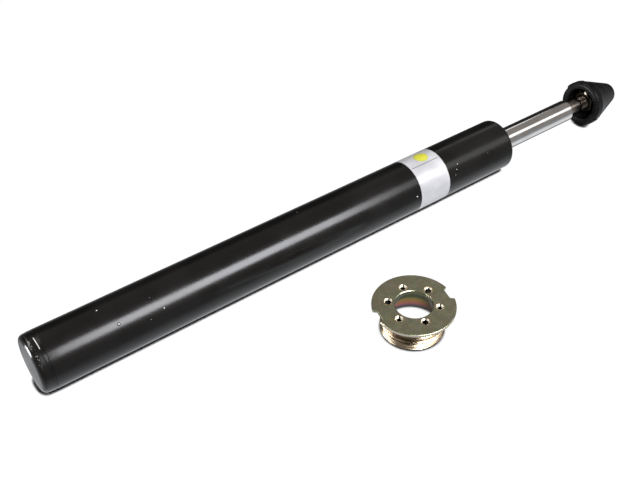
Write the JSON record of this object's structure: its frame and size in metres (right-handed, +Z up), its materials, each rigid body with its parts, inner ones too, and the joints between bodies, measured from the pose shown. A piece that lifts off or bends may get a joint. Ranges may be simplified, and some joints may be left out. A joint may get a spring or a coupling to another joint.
{
  "type": "suspension strut",
  "caption": "Strut insert: a sealed black tube with a chromed piston rod, a lobed cap on the rod's threaded end, and a loose flanged ring nut.",
  "frame": {"origin": "centre of the closed end's flat face, on the strut's axis", "axes": "+X along the strut from the closed base to the rod, +Z up as it lies on a surface"},
  "size_m": [0.6677, 0.1851, 0.0502],
  "materials": {
    "black_paint": "satin black stoving paint",
    "label_foil": "silver foil label",
    "hard_chrome": "ground and polished hard chrome",
    "plain_steel": "turned steel",
    "yellow_zinc": "yellow-passivated zinc plate",
    "black_rubber": "moulded rubber",
    "sintered_iron": "pressed and sintered iron",
    "lined_bronze": "bronze-backed low-friction liner",
    "ring_polymer": "filled PTFE"
  },
  "bodies": {
    "strut_body": {"outer_tube": "black_paint", "base_cup": "black_paint", "base_seam": "black_paint", "label_band": "label_foil", "inner_cylinder": "plain_steel", "foot_valve_body": "sintered_iron", "foot_valve_stud": "plain_steel", "foot_valve_discs": "plain_steel", "intake_disc": "plain_steel", "star_spring": "plain_steel", "foot_valve_nut": "plain_steel", "rod_guide": "sintered_iron", "guide_bush": "lined_bronze", "guide_static_ring": "black_rubber", "rod_seal": "black_rubber", "seal_garter_spring": "plain_steel", "end_washer": "plain_steel", "wiper": "black_rubber"},
    "piston_ring": {"piston_ring": "ring_polymer"},
    "rod": {"piston_rod": "hard_chrome", "rebound_collar": "plain_steel", "rebound_bumper": "black_rubber", "piston": "sintered_iron", "check_disc": "plain_steel", "stop_plate": "plain_steel", "rebound_discs": "plain_steel", "disc_washer": "plain_steel", "piston_nut": "plain_steel", "lock_nut": "yellow_zinc"},
    "cap": {"rod_end_cap": "black_rubber"},
    "ring_nut": {"ring_nut": "yellow_zinc"}
  },
  "joints": [
    {"name": "rod_slide", "type": "slide", "parent": "strut_body", "child": "piston_ring", "axis": [1, 0, 0], "range_m": [-0.09, 0.095]},
    {"name": "rod_spin", "type": "hinge", "parent": "piston_ring", "child": "rod", "pos_m": [0.28, 0, 0], "axis": [1, 0, 0], "continuous": true},
    {"name": "cap_pull", "type": "slide", "parent": "rod", "child": "cap", "axis": [1, 0, 0], "range_m": [0, 0.08]},
    {"name": "ring_nut_lift", "type": "slide", "parent": "strut_body", "child": "ring_nut", "axis": [0, 0, 1], "range_m": [0, 0.06]}
  ]
}
